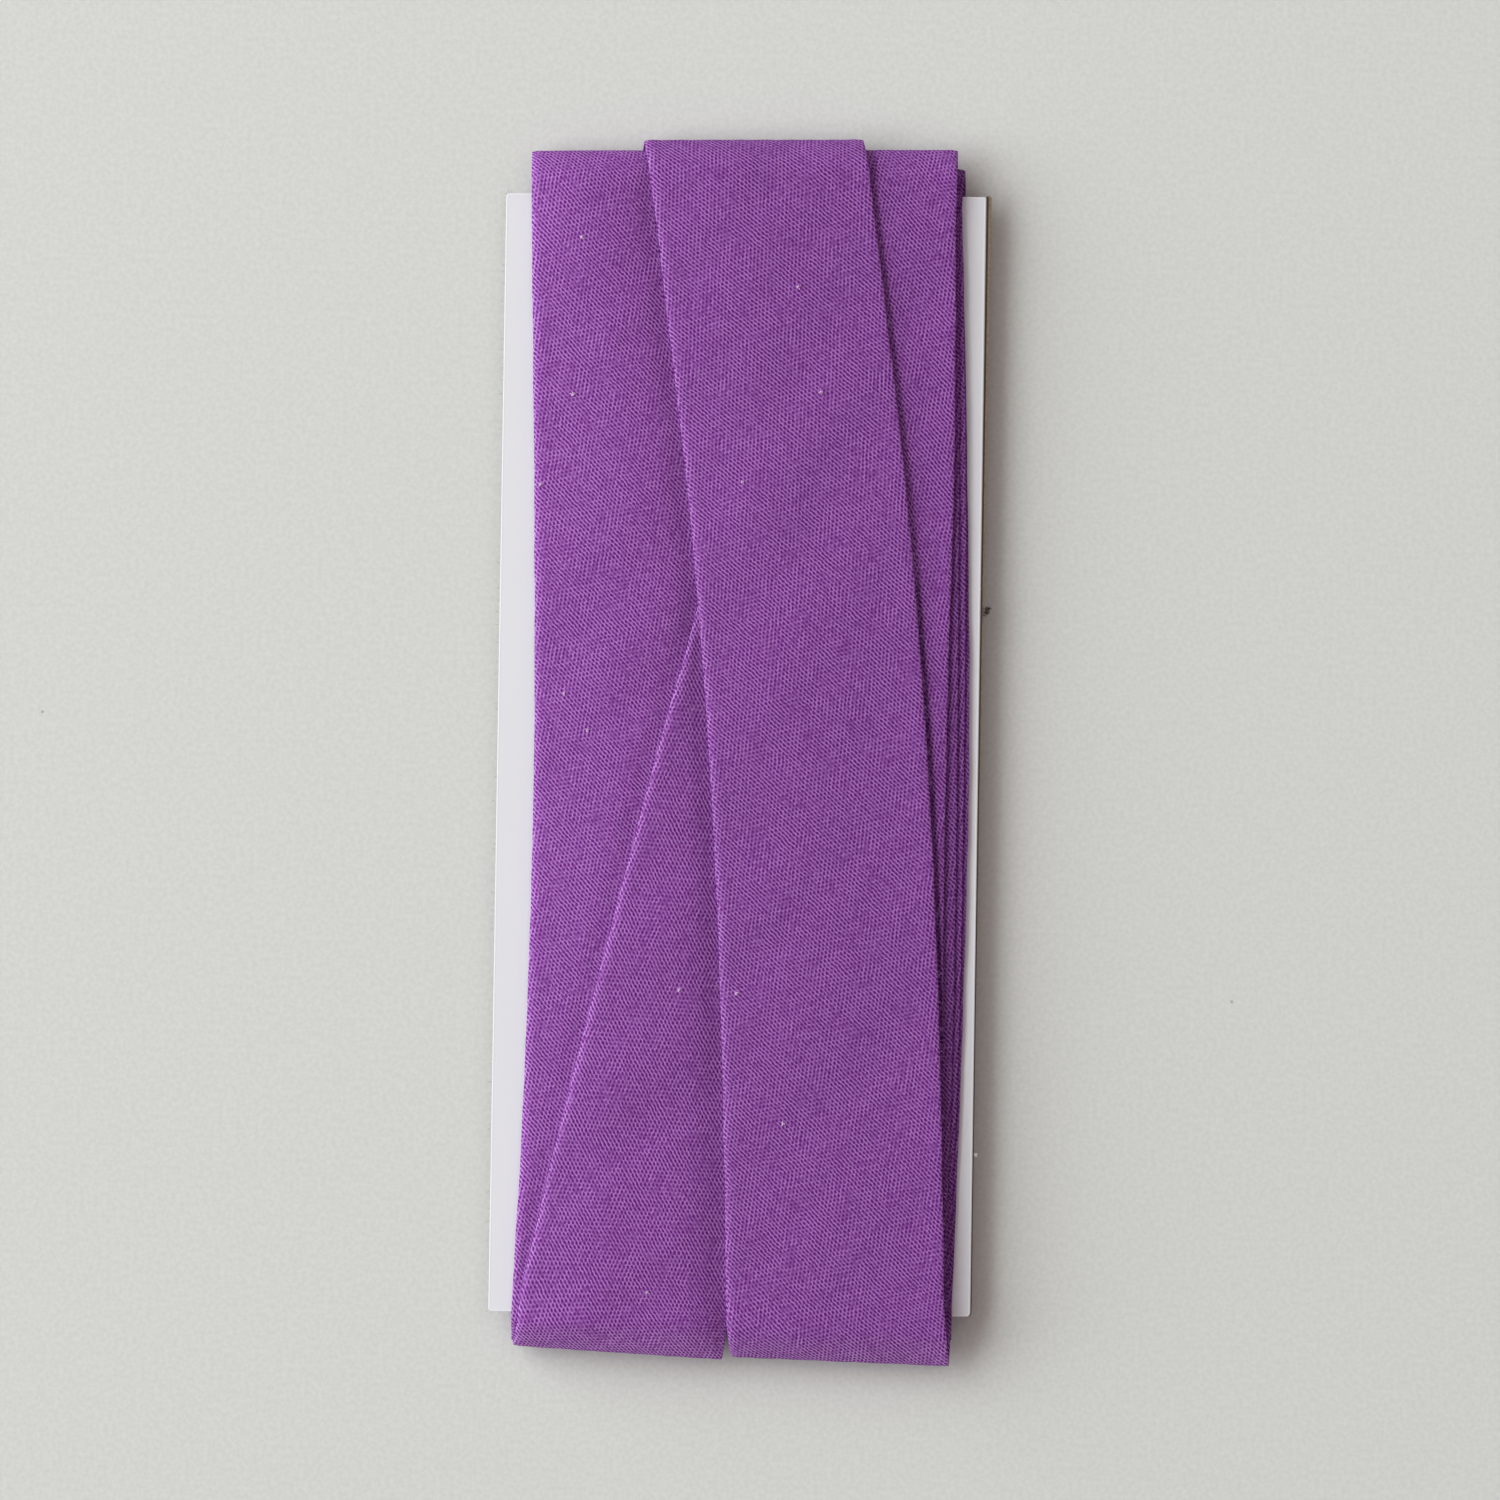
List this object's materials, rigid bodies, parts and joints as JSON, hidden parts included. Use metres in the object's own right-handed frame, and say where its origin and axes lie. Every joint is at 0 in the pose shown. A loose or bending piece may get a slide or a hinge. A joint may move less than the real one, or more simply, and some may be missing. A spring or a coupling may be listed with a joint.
{
  "type": "roll of bias binding on a card",
  "caption": "Folded cotton bias binding wound flat round a rectangular white board card in overlapping lanes, with the last turn crossing over the middle.",
  "frame": {"origin": "under the middle of the whole part, on the plane that its back rests on", "axes": "+Y along the card towards its top end, +Z out of the front face, +X to the right as seen from the front"},
  "size_m": [0.0556, 0.1412, 0.0067],
  "materials": {
    "cotton": "plain weave cut on the bias, matt with a faint sheen",
    "board": "white lined front, grey board at the cut edges and back"
  },
  "bodies": {
    "root": {"binding": "cotton", "card": "board"}
  },
  "joints": []
}
